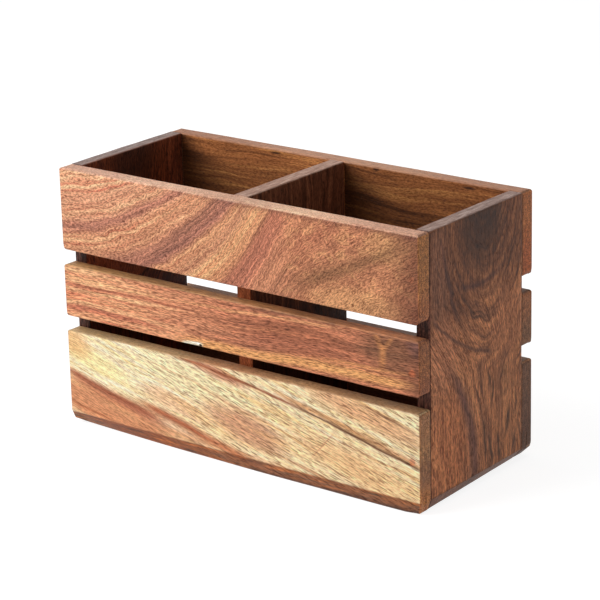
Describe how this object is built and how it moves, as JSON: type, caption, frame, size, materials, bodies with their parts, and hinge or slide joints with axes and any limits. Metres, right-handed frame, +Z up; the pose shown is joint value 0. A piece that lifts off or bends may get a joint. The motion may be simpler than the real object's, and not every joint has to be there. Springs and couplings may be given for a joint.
{
  "type": "utensil caddy",
  "caption": "Open-topped slatted wooden caddy with two compartments, crate-built from slats pinned to end panels and a central divider.",
  "frame": {"origin": "middle of the footprint, on the surface that the caddy stands on", "axes": "+X along the caddy's length, +Y from front to back, +Z up"},
  "size_m": [0.25, 0.108, 0.1555],
  "materials": {
    "top_slat_wood": "oiled satin, orange-brown with broad diagonal bands and fine pores",
    "middle_slat_wood": "oiled satin, reddish brown straight grain with gold streaks",
    "bottom_slat_wood": "oiled satin, pale sapwood with brown heartwood bands and dark pore dashes",
    "end_panel_wood": "oiled satin, dark reddish brown with arched upright grain",
    "divider_wood": "oiled satin, dark reddish brown upright grain",
    "floor_wood": "oiled satin, mid brown grain along the length",
    "steel_pin": "drawn bright steel",
    "wood_filler": "matt wood filler, sanded flush"
  },
  "bodies": {
    "root": {"back_bottom_slat": "bottom_slat_wood", "back_bottom_slat_filler": "wood_filler", "back_bottom_slat_pins": "steel_pin", "back_middle_slat": "middle_slat_wood", "back_middle_slat_filler": "wood_filler", "back_middle_slat_pins": "steel_pin", "back_top_slat": "top_slat_wood", "back_top_slat_filler": "wood_filler", "back_top_slat_pins": "steel_pin", "divider": "divider_wood", "divider_foot_pins": "steel_pin", "floor_board": "floor_wood", "front_bottom_slat": "bottom_slat_wood", "front_bottom_slat_filler": "wood_filler", "front_bottom_slat_pins": "steel_pin", "front_middle_slat": "middle_slat_wood", "front_middle_slat_filler": "wood_filler", "front_middle_slat_pins": "steel_pin", "front_top_slat": "top_slat_wood", "front_top_slat_filler": "wood_filler", "front_top_slat_pins": "steel_pin", "left_end_panel": "end_panel_wood", "right_end_panel": "end_panel_wood"}
  },
  "joints": []
}
